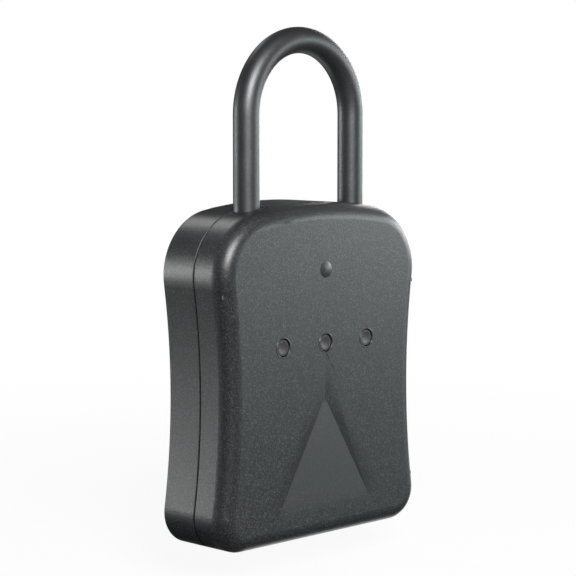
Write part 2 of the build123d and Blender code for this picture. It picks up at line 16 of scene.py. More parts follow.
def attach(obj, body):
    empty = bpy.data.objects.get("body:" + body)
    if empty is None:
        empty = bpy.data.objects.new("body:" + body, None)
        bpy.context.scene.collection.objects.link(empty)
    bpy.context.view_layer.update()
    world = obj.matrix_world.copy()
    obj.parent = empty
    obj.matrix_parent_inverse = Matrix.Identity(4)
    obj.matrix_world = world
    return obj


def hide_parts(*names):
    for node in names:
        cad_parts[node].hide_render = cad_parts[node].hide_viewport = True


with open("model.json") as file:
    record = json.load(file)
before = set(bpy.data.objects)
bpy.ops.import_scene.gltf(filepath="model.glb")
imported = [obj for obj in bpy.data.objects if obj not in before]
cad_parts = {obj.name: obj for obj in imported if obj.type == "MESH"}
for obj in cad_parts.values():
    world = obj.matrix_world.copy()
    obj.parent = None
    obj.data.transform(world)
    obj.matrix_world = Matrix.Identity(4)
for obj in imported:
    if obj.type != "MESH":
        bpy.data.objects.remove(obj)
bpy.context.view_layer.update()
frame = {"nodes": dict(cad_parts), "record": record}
scene = bpy.context.scene
MM = 0.001

# %% [markdown]
# The picture was taken from the left front, a little above the safe, with a long lens. The lens
# length is what makes the far side look almost as tall as the near one, so it is set first. The
# camera then stands where the fitted view puts it, and looks at a point inside the case.

# %% Camera at the photograph's angle
LOOK_AT = Vector((-1.66, 1.49, 90.15)) * MM
CAMERA_TURN = math.radians(45.1)
CAMERA_RISE = math.radians(5.47)
CAMERA_REACH = 701.5 * MM
LENS = 119.8

towards_camera = Vector((
    -math.sin(CAMERA_TURN) * math.cos(CAMERA_RISE),
    -math.cos(CAMERA_TURN) * math.cos(CAMERA_RISE),
    math.sin(CAMERA_RISE),
))
camera_data = bpy.data.cameras.new("camera")
camera_data.lens = LENS
camera_data.sensor_width = 36.0
camera_data.clip_start = 0.01
camera_data.clip_end = 20.0
camera = bpy.data.objects.new("camera", camera_data)
camera.location = LOOK_AT + towards_camera * CAMERA_REACH
camera.rotation_euler = (-towards_camera).to_track_quat("-Z", "Y").to_euler()
scene.collection.objects.link(camera)
scene.camera = camera
scene.view_settings.view_transform = "Standard"
print("camera stands at", [round(v, 3) for v in camera.location])

# %% [markdown]
# A node tree is easier to read when it is built by small helpers. `add_node` makes a node with
# its settings and inputs in one call, and a linked input is given as the socket it comes from.
# `maths`, `product`, `ramp` and `blend_colours` are the steps that almost every finish below needs,
# and `grey` and `scaled` spell out a colour from one number or from another colour.

# %% Helpers for node trees
def put(tree, value, socket):
    """Sets a socket, or links it when the value is itself a socket."""
    if isinstance(value, bpy.types.NodeSocket):
        tree.links.new(value, socket)
    else:
        socket.default_value = value


def add_node(tree, kind, inputs=None, **settings):
    node = tree.nodes.new(kind)
    for name, value in settings.items():
        setattr(node, name, value)
    for name, value in (inputs or {}).items():
        put(tree, value, node.inputs[name])
    return node


def maths(tree, operation, a, b=0.0, c=0.0):
    inputs = {0: a, 1: b}
    if operation in ("MULTIPLY_ADD", "SMOOTH_MAX"):
        inputs[2] = c
    return add_node(tree, "ShaderNodeMath", inputs, operation=operation).outputs[0]


def product(tree, first, *rest):
    """Several masks multiplied together."""
    for mask in rest:
        first = maths(tree, "MULTIPLY", first, mask)
    return first


def ramp(tree, value, low, high, to_low=0.0, to_high=1.0):
    """A smooth step: what goes from low to high comes out as to_low to to_high."""
    node = add_node(tree, "ShaderNodeMapRange", {
        "Value": value, "From Min": low, "From Max": high, "To Min": to_low, "To Max": to_high,
    }, interpolation_type="SMOOTHSTEP")
    return node.outputs[0]


def blend_colours(tree, share, first, second):
    node = add_node(tree, "ShaderNodeMix", data_type="RGBA")
    for index, value in ((0, share), (6, first), (7, second)):
        put(tree, value, node.inputs[index])
    return node.outputs[2]


def grey(value, warmth=0.0):
    return (value * (1 + warmth), value, value * (1 - warmth), 1.0)


def scaled(colour, share):
    return tuple(min(1.0, share * value) for value in colour[:3]) + (1.0,)


print("node helpers ready")

# %% [markdown]
# The studio is a white room. The camera, and the rays that pass through something clear, see it at
# full white. A mirror-like ray sees it too, though only as a pale wall, because a dark satin case
# owes its depth to what it doesn't reflect. The light that falls on the safe comes from a calmer
# grey world and a few soft lamps. `white_share` says how white the room is to each kind of ray, so
# that the world and the floor agree.

# %% White room
PALE_SHARE = 0.06
FILL = 0.04


def white_share(tree, pale_share=PALE_SHARE):
    """How white the room is to the ray that meets it, and whether that ray is the camera's."""
    path = add_node(tree, "ShaderNodeLightPath").outputs
    seen = maths(tree, "MAXIMUM", path["Is Camera Ray"], path["Is Transmission Ray"])
    pale = maths(tree, "MULTIPLY", path["Is Glossy Ray"], pale_share)
    return maths(tree, "MAXIMUM", seen, pale), path["Is Camera Ray"]


world = bpy.data.worlds.new("studio")
scene.world = world
world.use_nodes = True
sky = world.node_tree
sky.nodes.clear()
seen, _ = white_share(sky)
fill = add_node(sky, "ShaderNodeBackground", {"Color": grey(1.0), "Strength": FILL})
white = add_node(sky, "ShaderNodeBackground", {"Color": grey(1.0), "Strength": 1.0})
both = add_node(sky, "ShaderNodeMixShader", {0: seen, 1: fill.outputs[0], 2: white.outputs[0]})
add_node(sky, "ShaderNodeOutputWorld", {"Surface": both.outputs[0]})
print("world strength", FILL)

# %% [markdown]
# The floor is a sheet of paper. The cover opens lower than the foot of the case, so the sheet lies
# 14 mm under it. One flat round face is enough, since its look comes from the paper alone.

# %% Floor
FLOOR_DROP = 14 * MM
FLOOR_RADIUS = 6.0
bpy.ops.object.select_all(action="DESELECT")
bpy.ops.mesh.primitive_circle_add(vertices=96, radius=FLOOR_RADIUS, fill_type="NGON",
                                  location=(0, 0, -FLOOR_DROP))
floor = bpy.context.object
floor.name = "floor"
print("floor lies", FLOOR_DROP / MM, "mm below the case")

# %% [markdown]
# Near the safe the paper keeps a soft shadow, and further out it turns into the white of the room,
# which hides the horizon. Light that bounces meets it nearly black, so that little is thrown up at
# the safe's underside, which the photograph shows almost black. A mirror-like ray sees it dark too,
# apart from one lit patch that starts under the safe and spreads behind it on the right. That patch
# draws the thin pale line along the bottom edge of the cover.

# %% Floor paper
PAPER_WHITE, PAPER_GREY = 0.85, 0.06
DARK_PALE, LIT_PALE = 0.02, 1.0
LIT_FROM_LEFT = (-34 * MM, -16 * MM)
LIT_FROM_FRONT = (-14 * MM, -4 * MM)
LIT_FADES = (0.2, 0.4)
SHADOW_FADES = (0.12, 0.6)
SHADOW_WHITE = 0.92

paper = bpy.data.materials.new("white_sweep")
paper.use_nodes = True
tree = paper.node_tree
tree.nodes.clear()
place = add_node(tree, "ShaderNodeTexCoord").outputs["Object"]
part = add_node(tree, "ShaderNodeSeparateXYZ", {0: place}).outputs
away = add_node(tree, "ShaderNodeVectorMath", {0: place}, operation="LENGTH").outputs["Value"]
lit = product(tree, ramp(tree, part["X"], *LIT_FROM_LEFT), ramp(tree, part["Y"], *LIT_FROM_FRONT),
              ramp(tree, away, *LIT_FADES, 1.0, 0.0))
seen, to_camera = white_share(tree, ramp(tree, lit, 0.0, 1.0, DARK_PALE, LIT_PALE))
diffuse = add_node(tree, "ShaderNodeBsdfDiffuse", {
    "Color": blend_colours(tree, to_camera, grey(PAPER_GREY), grey(PAPER_WHITE))})
glow = add_node(tree, "ShaderNodeEmission", {"Color": grey(1.0), "Strength": 1.0})
share = product(tree, seen, ramp(tree, away, *SHADOW_FADES, SHADOW_WHITE, 1.0))
mix = add_node(tree, "ShaderNodeMixShader", {0: share, 1: diffuse.outputs[0], 2: glow.outputs[0]})
add_node(tree, "ShaderNodeOutputMaterial", {"Surface": mix.outputs[0]})
floor.data.materials.append(paper)
print("paper", PAPER_WHITE, "to the camera,", PAPER_GREY, "to bounced light")

# %% [markdown]
# Rounded dark plastic is drawn by its highlights, so each lamp is placed for the line that it has
# to draw. A surface mirrors the lamp that stands on the far side of its normal. The key box makes
# the long light down each leg and the one on the upper left corner. The front right box makes the
# slow rise of light up the face, and the right box brightens its upper right edge. The left box
# makes the bright band on the side, and the shoulder box the patch above that band. The rim box
# stands behind on the right and outlines the shackle and the case. Each is given by its azimuth and
# elevation round the safe, its distance, its width and height, and how bright it looks in a mirror.
# None shows to the camera, because other views look straight at some of them.

# %% Lamps
MIDDLE = Vector((0, 0, 0.09))


def soft_box(name, turn, rise, reach, width, height, glow, tint=(1.0, 1.0, 1.0)):
    """A soft box at an azimuth and elevation in degrees, turned to the middle of the safe."""
    turn, rise = math.radians(turn), math.radians(rise)
    away = Vector((math.cos(turn) * math.cos(rise), math.sin(turn) * math.cos(rise),
                   math.sin(rise)))
    data = bpy.data.lights.new(name, "AREA")
    data.shape = "RECTANGLE"
    data.size = width
    data.size_y = height
    data.color = tint
    data.energy = glow * math.pi * width * height
    lamp = bpy.data.objects.new(name, data)
    lamp.location = MIDDLE + away * reach
    lamp.rotation_euler = (-away).to_track_quat("-Z", "Y").to_euler()
    lamp.visible_camera = False
    scene.collection.objects.link(lamp)


soft_box("key_box", 241, 28, 1.2, 0.52, 0.5, 24.0)
soft_box("front_right_box", 323, 5, 1.4, 0.7, 0.34, 5.4, tint=(0.93, 1.0, 1.0))
soft_box("right_box", 346, 9, 1.4, 0.3, 0.4, 14.0)
soft_box("left_box", 125, 3, 1.3, 0.75, 0.24, 9.5)
soft_box("shoulder_box", 80, 45, 1.3, 0.26, 0.26, 6.0)
soft_box("rim_box", 24, 6, 1.5, 0.8, 0.95, 6.0)

# %% [markdown]
# Some effects belong to several finishes, so each is a node group, made once and placed in every
# material with its own values. A group's sockets are made first, then the nodes between them.

# %% Helpers for node groups
VECTOR, FLOAT = "NodeSocketVector", "NodeSocketFloat"


def group_start(name, inputs, outputs):
    """A shader node group with its named sockets, and the nodes at its two ends."""
    group = bpy.data.node_groups.new(name, "ShaderNodeTree")
    for label, kind, value in inputs:
        socket = group.interface.new_socket(label, in_out="INPUT", socket_type=kind)
        if value is not None:
            socket.default_value = value
    for label in outputs:
        group.interface.new_socket(label, in_out="OUTPUT", socket_type=FLOAT)
    given = group.nodes.new("NodeGroupInput").outputs
    return group, given, group.nodes.new("NodeGroupOutput").inputs


def use_group(tree, group, **inputs):
    node = add_node(tree, "ShaderNodeGroup", node_tree=group)
    for name, value in inputs.items():
        put(tree, value, node.inputs[name])
    return node.outputs


print("group helpers ready")

# %% [markdown]
# Spark-eroded moulds leave a skin of tiny rounded pebbles. Voronoi cells give the pebbles and fine
# noise breaks them up. The second output marks small scattered specks. The mouldings paint them
# lighter as painted glints on the grain's tips, and other finishes use them for dust or specks.

# %% Moulded grain
moulded_grain, given, result = group_start(
    "moulded_grain", [("Vector", VECTOR, None), ("Scale", FLOAT, 2000.0)], ["Height", "Speck"])
pebbles = add_node(moulded_grain, "ShaderNodeTexVoronoi", {
    "Vector": given["Vector"], "Scale": given["Scale"]})
cloud = add_node(moulded_grain, "ShaderNodeTexNoise", {
    "Vector": given["Vector"], "Scale": maths(moulded_grain, "MULTIPLY", given["Scale"], 1.7),
    "Detail": 2.0, "Roughness": 0.6})
put(moulded_grain, maths(moulded_grain, "MULTIPLY_ADD", pebbles.outputs["Distance"], 0.7,
                         cloud.outputs["Fac"]), result["Height"])
dots = add_node(moulded_grain, "ShaderNodeTexNoise", {
    "Vector": given["Vector"], "Scale": maths(moulded_grain, "MULTIPLY", given["Scale"], 0.8),
    "Detail": 1.0, "Roughness": 0.5})
put(moulded_grain, ramp(moulded_grain, dots.outputs["Fac"], 0.52, 0.68), result["Speck"])
print(moulded_grain.name, [socket.name for socket in result])

# %% [markdown]
# Nothing that is made by a machine has one even tone. A slow cloud of noise shifts the colour and
# the roughness a little across each piece.

# %% Soft mottle
soft_mottle, given, result = group_start(
    "soft_mottle", [("Vector", VECTOR, None), ("Scale", FLOAT, 40.0)], ["Value"])
cloud = add_node(soft_mottle, "ShaderNodeTexNoise", {
    "Vector": given["Vector"], "Scale": given["Scale"], "Detail": 4.0, "Roughness": 0.55})
put(soft_mottle, ramp(soft_mottle, cloud.outputs["Fac"], 0.3, 0.7), result["Value"])
print(soft_mottle.name, "ready")

# %% [markdown]
# Rolled, drawn and ground metal shows fine lines along the way it was worked. The same noise makes
# them once its space is squeezed along that way, which the Stretch input says: a small number on
# one axis draws the lines along that axis.

# %% Worked lines
worked_lines, given, result = group_start("worked_lines", [
    ("Vector", VECTOR, None), ("Stretch", VECTOR, (0.03, 1.0, 1.0)), ("Scale", FLOAT, 1500.0)],
    ["Height", "Tone"])
drawn_out = add_node(worked_lines, "ShaderNodeVectorMath", {
    0: given["Vector"], 1: given["Stretch"]}, operation="MULTIPLY").outputs[0]
coarse = add_node(worked_lines, "ShaderNodeTexNoise", {
    "Vector": drawn_out, "Scale": given["Scale"], "Detail": 3.0, "Roughness": 0.65})
fine = add_node(worked_lines, "ShaderNodeTexNoise", {
    "Vector": drawn_out, "Scale": maths(worked_lines, "MULTIPLY", given["Scale"], 3.3),
    "Detail": 1.0, "Roughness": 0.5})
put(worked_lines, maths(worked_lines, "MULTIPLY_ADD", fine.outputs["Fac"], 0.5,
                        coarse.outputs["Fac"]), result["Height"])
put(worked_lines, ramp(worked_lines, coarse.outputs["Fac"], 0.35, 0.65), result["Tone"])
print(worked_lines.name, "ready")

# %% [markdown]
# Edges are handled, stamped or trimmed, so they wear bright first. A bevelled normal turns away
# from the true one only near an edge. Their difference, broken up by noise, is the worn line.

# %% Rubbed edge
rubbed_edge, given, result = group_start("rubbed_edge", [
    ("Vector", VECTOR, None), ("Width", FLOAT, 0.0003), ("Breakup", FLOAT, 900.0)], ["Mask"])
rounded = add_node(rubbed_edge, "ShaderNodeBevel", {"Radius": given["Width"]}, samples=4)
true_normal = add_node(rubbed_edge, "ShaderNodeNewGeometry").outputs["Normal"]
agree = add_node(rubbed_edge, "ShaderNodeVectorMath", {
    0: rounded.outputs[0], 1: true_normal}, operation="DOT_PRODUCT").outputs["Value"]
cloud = add_node(rubbed_edge, "ShaderNodeTexNoise", {
    "Vector": given["Vector"], "Scale": given["Breakup"], "Detail": 2.0})
turned = ramp(rubbed_edge, agree, 0.995, 0.85)
patchy = ramp(rubbed_edge, cloud.outputs["Fac"], 0.3, 0.6, 0.25, 1.0)
put(rubbed_edge, product(rubbed_edge, turned, patchy), result["Mask"])
print(rubbed_edge.name, "ready")

# %% [markdown]
# Most finishes start alike. `finish` makes a material, types its even values straight on the
# shader's sockets, and hands back the object's own coordinates, on which every pattern is laid.
# `relief` turns a height into a bump. A dictionary keeps each finish under the name that the record
# gives it.

# %% Helpers for finishes
def finish(name, **sockets):
    """A material with one Principled shader, whose even values are set on its own sockets."""
    material = bpy.data.materials.new(name)
    material.use_nodes = True
    shader = material.node_tree.nodes["Principled BSDF"]
    for socket, value in sockets.items():
        shader.inputs[socket.replace("_", " ")].default_value = value
    place = add_node(material.node_tree, "ShaderNodeTexCoord").outputs["Object"]
    return material, material.node_tree, shader.inputs, place


def relief(tree, shader, height, distance):
    bump = add_node(tree, "ShaderNodeBump", {"Distance": distance, "Height": height}).outputs[0]
    put(tree, bump, shader["Normal"])
    return bump


FINISHES = {}
print("finish helpers ready")

# %% [markdown]
# Most of the safe is moulded plastic. Its grain is in the mould, so it is a real relief. Its colour
# adds painted shade in the pits and painted glints on specks at the grain's tips. On the outer
# pieces a thin even gloss lies on the grain. One roughness can't be both, so a coat layer gives
# that gloss a roughness of its own, while the body below stays matt. The mouldings differ only in
# tone, grain and gloss, so one recipe makes them all.

# %% Moulded plastics
SHEEN_ROUGHNESS = 0.34
PIT_SHADE_TONE, TIP_GLINT_TONE = 0.3, 2.2
PIT_HEIGHTS = (0.55, 1.15)
RELIEF_HEIGHTS = (0.4, 1.1)
ROUGHNESS_SPREAD = 0.08
DRIFT_SCALE = 22.0


def moulded(slot, dark, light, grain, depth, rough, specular=0.15, glint=0.25, sheen=0.0):
    """A grained moulding between two tones. Its relief is depth metres deep."""
    material, tree, shader, place = finish(slot, Specular_IOR_Level=specular, Coat_Weight=sheen,
                                           Coat_Roughness=SHEEN_ROUGHNESS)
    grained = use_group(tree, moulded_grain, Vector=place, Scale=grain)
    drift = use_group(tree, soft_mottle, Vector=place, Scale=DRIFT_SCALE)
    colour = blend_colours(tree, drift["Value"], dark, light)
    # Painted shade darkens the pits, and painted glints lighten the specks.
    colour = blend_colours(tree, ramp(tree, grained["Height"], *PIT_HEIGHTS), colour,
                           scaled(dark, PIT_SHADE_TONE))
    colour = blend_colours(tree, maths(tree, "MULTIPLY", grained["Speck"], glint), colour,
                           scaled(light, TIP_GLINT_TONE))
    put(tree, colour, shader["Base Color"])
    put(tree, ramp(tree, grained["Height"], *RELIEF_HEIGHTS, rough - ROUGHNESS_SPREAD,
                   rough + ROUGHNESS_SPREAD), shader["Roughness"])
    bump = relief(tree, shader, grained["Height"], depth)
    put(tree, bump, shader["Coat Normal"])
    FINISHES[slot] = material
    return tree, shader, place, colour


moulded("button_plastic", (0.038, 0.040, 0.041, 1), (0.046, 0.049, 0.050, 1),
        2500.0, 0.00003, 0.36, sheen=1.0)
moulded("inner_plastic", (0.052, 0.053, 0.055, 1), (0.066, 0.067, 0.069, 1),
        1800.0, 0.000015, 0.42, 0.3)
moulded("hook_plastic", (0.105, 0.105, 0.110, 1), (0.125, 0.125, 0.130, 1),
        1500.0, 0.000010, 0.38, 0.4)
moulded("switch_plastic", (0.040, 0.040, 0.041, 1), (0.055, 0.055, 0.056, 1),
        4000.0, 0.000006, 0.42, 0.4)
moulded("guide_plastic", (0.66, 0.65, 0.60, 1), (0.74, 0.73, 0.69, 1),
        900.0, 0.000006, 0.42, 0.5)
print("mouldings", list(FINISHES))

# %% [markdown]
# The case and its cover share one charcoal moulding. Low on the cover lies a smooth triangle, whose
# floor is coloured a little lighter than the rest, while the flanks beside it are coloured darker
# as painted shade. An image could paint that, but it would need the whole case unwrapped, so masks
# are worked out from each point's place instead. They follow the triangle's shape in the frame: a
# line falls from the apex to each side, and the distance from that line tells floor from flank.
# Both fade out at the foot, and the flanks fade at the apex too.

# %% Case moulding and its triangle
APEX_HEIGHT = 51.5 * MM
APEX_ROUNDING = 1.4 * MM
FOOT_HEIGHT = 12.0 * MM
HALF_ANGLE = math.radians(30.8)
FLANK_WIDTH = 8.5 * MM
FACE_DEPTHS = (-15.0 * MM, -14.5 * MM)
FACET_RIM = (-0.2 * MM, 0.1 * MM)
FLOOR_FOOT = (FOOT_HEIGHT - 4 * MM, FOOT_HEIGHT + 4 * MM)
FLANK_FOOT = (FOOT_HEIGHT - 4 * MM, FOOT_HEIGHT + 10 * MM)
FLANK_HEAD = (APEX_HEIGHT - 14 * MM, APEX_HEIGHT + 2 * MM)
LEFT_AT_APEX = 0.15
FLOOR_TONE, FLOOR_SHARE = (0.050, 0.053, 0.055, 1), 0.6
FLANK_SHADE_TONE, FLANK_SHADE_SHARE = (0.018, 0.019, 0.020, 1), 0.4

tree, shader, place, colour = moulded(
    "case_moulding", (0.032, 0.035, 0.036, 1), (0.040, 0.0445, 0.046, 1), 2500.0, 0.000034, 0.36,
    glint=0.6)
part = add_node(tree, "ShaderNodeSeparateXYZ", {0: place}).outputs
down = maths(tree, "SUBTRACT", APEX_HEIGHT, part["Z"])
beside = maths(tree, "SUBTRACT",
               maths(tree, "MULTIPLY", maths(tree, "ABSOLUTE", part["X"]), math.cos(HALF_ANGLE)),
               maths(tree, "MULTIPLY", down, math.sin(HALF_ANGLE)))
above = maths(tree, "MULTIPLY", maths(tree, "SUBTRACT", APEX_ROUNDING, down), 0.8)
outside = maths(tree, "SMOOTH_MAX", beside, above, 1.0 * MM)
on_face = ramp(tree, part["Y"], *FACE_DEPTHS, 1.0, 0.0)

floor_mask = product(tree, on_face, ramp(tree, outside, *FACET_RIM, 1.0, 0.0),
                     ramp(tree, part["Z"], *FLOOR_FOOT))
flank_mask = product(tree, on_face, ramp(tree, outside, *FACET_RIM),
                     ramp(tree, outside, 0.0, FLANK_WIDTH, 1.0, 0.0),
                     ramp(tree, part["Z"], *FLANK_FOOT),
                     ramp(tree, part["Z"], *FLANK_HEAD, 1.0, LEFT_AT_APEX))
colour = blend_colours(tree, maths(tree, "MULTIPLY", floor_mask, FLOOR_SHARE), colour, FLOOR_TONE)
# Painted shade: the flanks beside the triangle are coloured darker.
colour = blend_colours(tree, maths(tree, "MULTIPLY", flank_mask, FLANK_SHADE_SHARE), colour, FLANK_SHADE_TONE)
print("triangle's apex at", APEX_HEIGHT / MM, "mm")

# %% [markdown]
# The crown and the upright edges are coloured darker as painted shade. They are found by the way
# the surface faces, because that needs no measure of the case. The crown looks up, and an upright
# edge looks as much to the side as to the front. The seam between the shells is coloured darker as
# painted shade too, and its mask is a narrow band of depth.

# %% Case's painted shade by direction, and at the seam
SEAM = -1.075 * MM
SEAM_HALF = 0.22 * MM
SEAM_FADE = 0.08 * MM
CROWN_FACES_UP = (0.6, 0.92)
EDGE_SLANT = (0.15, 0.45)
EDGE_FACES_UP = (0.05, 0.3)
PAINTED_SHADE_TONE, CROWN_SHADE_SHARE, EDGE_SHADE_SHARE = grey(0.010), 0.5, 0.25
SEAM_SHADE_TONE, SEAM_SHADE_SHARE = grey(0.004), 0.5

facing = add_node(tree, "ShaderNodeTexCoord").outputs["Normal"]
facing = add_node(tree, "ShaderNodeSeparateXYZ", {0: facing}).outputs
upward = facing["Z"]
slanted = maths(tree, "ABSOLUTE", maths(tree, "MULTIPLY", facing["X"], facing["Y"]))
upright_edge = product(tree, ramp(tree, slanted, *EDGE_SLANT),
                       ramp(tree, upward, *EDGE_FACES_UP, 1.0, 0.0))
from_seam = maths(tree, "ABSOLUTE", maths(tree, "SUBTRACT", part["Y"], SEAM))
seam_mask = ramp(tree, from_seam, SEAM_HALF, SEAM_HALF + SEAM_FADE, 1.0, 0.0)

# Painted shade: the crown and the upright edges are coloured darker.
colour = blend_colours(tree, ramp(tree, upward, *CROWN_FACES_UP, 0.0, CROWN_SHADE_SHARE), colour,
                       PAINTED_SHADE_TONE)
colour = blend_colours(tree, maths(tree, "MULTIPLY", upright_edge, EDGE_SHADE_SHARE), colour, PAINTED_SHADE_TONE)
# Painted shade: the seam's narrow band is coloured darker.
colour = blend_colours(tree, maths(tree, "MULTIPLY", seam_mask, SEAM_SHADE_SHARE), colour, SEAM_SHADE_TONE)
put(tree, colour, shader["Base Color"])
print("seam at", SEAM / MM, "mm")

# %% [markdown]
# The sheen draws the case's broad lights, and where it is left out the case goes dark. The crown,
# the underside and the seam carry none, and the flanks and the upright edges carry half. Only the
# lower lip of the cover, which also faces down, keeps its sheen. There the grain's height is turned
# down as well, so that the lip mirrors the lit paper in one thin line.

# %% Case sheen and the lower lip
LIP_FACES_DOWN = (-0.45, -0.6)
LIP_DEPTH = (-6 * MM, -10 * MM)
LIP_GRAIN = 0.1
CROWN_ENDS_SHEEN = (0.86, 0.98)
FOOT_ENDS_SHEEN = (-0.35, 0.0)
LESS_SHEEN = 0.5

lower_lip = product(tree, ramp(tree, upward, *LIP_FACES_DOWN), ramp(tree, part["Y"], *LIP_DEPTH))
bump = shader["Normal"].links[0].from_node.inputs
put(tree, maths(tree, "MULTIPLY", bump["Height"].links[0].from_socket,
                ramp(tree, lower_lip, 0.0, 1.0, 1.0, LIP_GRAIN)), bump["Height"])
sheen = product(
    tree, ramp(tree, upward, *CROWN_ENDS_SHEEN, 1.0, 0.0),
    maths(tree, "MAXIMUM", ramp(tree, upward, *FOOT_ENDS_SHEEN), lower_lip),
    ramp(tree, flank_mask, 0.0, 1.0, 1.0, LESS_SHEEN),
    ramp(tree, upright_edge, 0.0, 1.0, 1.0, LESS_SHEEN),
    maths(tree, "SUBTRACT", 1.0, seam_mask))
put(tree, sheen, shader["Coat Weight"])
print("case moulding has", len(tree.nodes), "nodes")

# %% [markdown]
# The lens is a smoky dome of the case's own tone, with a finer grain and the same sheen, so that it
# shows as one soft crescent of light. The lamp behind it has a clear body with a milky core.

# %% Lens and lamp
moulded("lens_plastic", (0.036, 0.038, 0.039, 1), (0.042, 0.044, 0.046, 1),
        3500.0, 0.000020, 0.38, sheen=0.9)

material, tree, shader, place = finish("lamp_clear", IOR=1.5, Transmission_Weight=0.6)
drift = use_group(tree, soft_mottle, Vector=place, Scale=500.0)["Value"]
put(tree, blend_colours(tree, drift, (0.70, 0.74, 0.75, 1), (0.82, 0.85, 0.85, 1)),
    shader["Base Color"])
put(tree, ramp(tree, drift, 0.0, 1.0, 0.10, 0.22), shader["Roughness"])
FINISHES["lamp_clear"] = material
print("finishes", len(FINISHES))

# %% [markdown]
# The shackle is hardened bar, bent, then coated in satin gunmetal. The coat is smooth and a little
# uneven, so its reflections are broad bands with soft edges. A few specks lie in it, and long faint
# lines from the drawn bar show through along each leg.

# %% Shackle coat
material, tree, shader, place = finish("shackle_steel", Metallic=0.9)
specks = use_group(tree, moulded_grain, Vector=place, Scale=2200.0)
drift = use_group(tree, soft_mottle, Vector=place, Scale=60.0)["Value"]
lines = use_group(tree, worked_lines, Vector=place, Stretch=(1.0, 1.0, 0.02), Scale=900.0)
colour = blend_colours(tree, drift, (0.088, 0.091, 0.094, 1), (0.106, 0.110, 0.112, 1))
colour = blend_colours(tree, maths(tree, "MULTIPLY", lines["Tone"], 0.12), colour, grey(0.09))
colour = blend_colours(tree, maths(tree, "MULTIPLY", specks["Speck"], 0.15), colour, grey(0.25))
put(tree, colour, shader["Base Color"])
put(tree, ramp(tree, drift, 0.0, 1.0, 0.44, 0.50), shader["Roughness"])
relief(tree, shader, specks["Height"], 0.000005)
FINISHES["shackle_steel"] = material
print("finishes", len(FINISHES))

# %% [markdown]
# Soft rubbers scatter light evenly. The seals are plain silicone with a little dust on them. The
# pad on the back is a softer sheet with a pebbled skin that grips and doesn't scratch.

# %% Rubbers
def rubber(slot, body, dust, pebble, depth, rough):
    material, tree, shader, place = finish(slot, Specular_IOR_Level=0.3)
    skin = use_group(tree, moulded_grain, Vector=place, Scale=pebble)
    drift = use_group(tree, soft_mottle, Vector=place, Scale=90.0)["Value"]
    dusty = maths(tree, "MULTIPLY", skin["Speck"], ramp(tree, drift, 0.2, 0.9, 0.05, 0.35))
    shade = blend_colours(tree, drift, body, scaled(body, 1.3))
    put(tree, blend_colours(tree, dusty, shade, dust), shader["Base Color"])
    put(tree, ramp(tree, skin["Height"], *RELIEF_HEIGHTS, rough - 0.06, rough + 0.06),
        shader["Roughness"])
    relief(tree, shader, skin["Height"], depth)
    FINISHES[slot] = material


rubber("seal_rubber", (0.018, 0.018, 0.020, 1), grey(0.10), 2600.0, 0.000008, 0.62)
rubber("soft_pad", (0.026, 0.026, 0.028, 1), grey(0.09), 1100.0, 0.00006, 0.7)
print("finishes", len(FINISHES))

# %% [markdown]
# The bare metals differ in how they were worked: pins and bar are drawn or ground along their
# length, sheet is rolled and zinc plated, the motor's can is drawn, and the pinion is cut from
# brass. One recipe serves all: a tone, lines along the way of working, slow stains, bright edges.

# %% Worked metals
def worked_metal(slot, tone, edge, stretch, rough, scale=1500.0, depth=0.000004):
    material, tree, shader, place = finish(slot, Metallic=1.0)
    lines = use_group(tree, worked_lines, Vector=place, Stretch=stretch, Scale=scale)
    stain = use_group(tree, soft_mottle, Vector=place, Scale=120.0)["Value"]
    worn = use_group(tree, rubbed_edge, Vector=place, Width=0.00025)["Mask"]
    dull = scaled(tone, 0.72)
    colour = blend_colours(tree, maths(tree, "MULTIPLY", lines["Tone"], 0.5), tone, dull)
    colour = blend_colours(tree, maths(tree, "MULTIPLY", stain, 0.3), colour, dull)
    put(tree, blend_colours(tree, worn, colour, edge), shader["Base Color"])
    grind = ramp(tree, lines["Height"], *RELIEF_HEIGHTS, rough - 0.07, rough + 0.09)
    put(tree, maths(tree, "SUBTRACT", grind, maths(tree, "MULTIPLY", worn, 0.06)),
        shader["Roughness"])
    relief(tree, shader, lines["Height"], depth)
    FINISHES[slot] = material


worked_metal("steel_pin", (0.52, 0.52, 0.54, 1), grey(0.70), (0.03, 1.0, 1.0), 0.30)
worked_metal("bar_steel", (0.50, 0.50, 0.52, 1), grey(0.70), (1.0, 1.0, 0.02), 0.30)
worked_metal("sheet_steel", (0.47, 0.48, 0.49, 1), grey(0.66), (0.04, 1.0, 0.6), 0.36)
worked_metal("screw_steel", (0.40, 0.40, 0.42, 1), grey(0.62), (0.5, 0.5, 0.5), 0.32, 2400.0)
worked_metal("motor_can", (0.55, 0.55, 0.56, 1), grey(0.70), (0.03, 1.0, 1.0), 0.28)
worked_metal("pinion_brass", (0.70, 0.52, 0.24, 1), (0.85, 0.68, 0.36, 1), (1.0, 0.2, 0.2), 0.28)
worked_metal("contact_nickel", (0.70, 0.68, 0.63, 1), grey(0.80, 0.03), (0.2, 1.0, 1.0), 0.18)
print("finishes", len(FINISHES))

# %% [markdown]
# The latch is die cast and dark coated. Casting leaves a faint orange peel, and the coat has worn
# through to grey metal along its edges, where it slides in its bracket.

